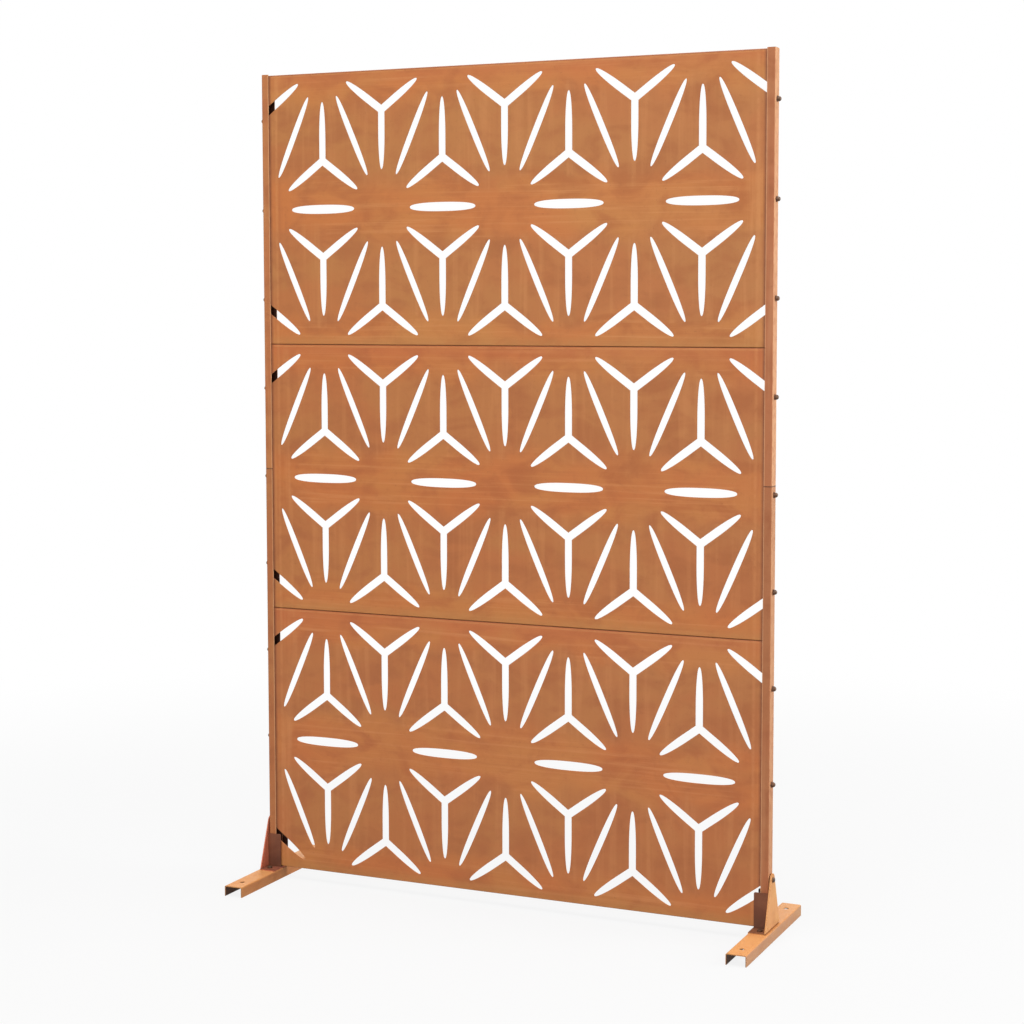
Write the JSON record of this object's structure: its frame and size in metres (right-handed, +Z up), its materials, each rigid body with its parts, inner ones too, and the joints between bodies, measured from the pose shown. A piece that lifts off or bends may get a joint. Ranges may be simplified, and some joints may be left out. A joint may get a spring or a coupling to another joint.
{
  "type": "free-standing metal privacy screen",
  "caption": "Free-standing screen of stacked weathering-steel tray panels with a leaf-lattice cut-out, bolted between channel posts that stand on channel feet.",
  "frame": {"origin": "on the floor, at the middle of the screen's width and of the feet's length", "axes": "+Z up, +X to the right as seen from the front, -Y to the front, where the panels' smooth faces are"},
  "size_m": [1.1962, 0.376, 1.7996],
  "materials": {
    "corten": "matte weathered rust patina with fine streaks",
    "dark_steel": "dull dark grey",
    "brown_steel": "dull rust brown"
  },
  "bodies": {
    "root": {"panel_top": "corten", "panel_middle": "corten", "panel_bottom": "corten", "post_left_upper": "corten", "post_left_lower": "corten", "post_right_upper": "corten", "post_right_lower": "corten", "foot_left": "corten", "foot_right": "corten", "gusset_left": "corten", "gusset_right": "corten", "shoe_left": "corten", "shoe_right": "corten", "side_bolts_left": "dark_steel", "side_bolts_right": "dark_steel", "side_washers_left": "brown_steel", "side_washers_right": "brown_steel", "dome_nuts_left": "dark_steel", "dome_nuts_right": "dark_steel", "gusset_bolts": "dark_steel", "gusset_nuts": "dark_steel", "base_bolts": "dark_steel", "base_nuts": "dark_steel"}
  },
  "joints": []
}
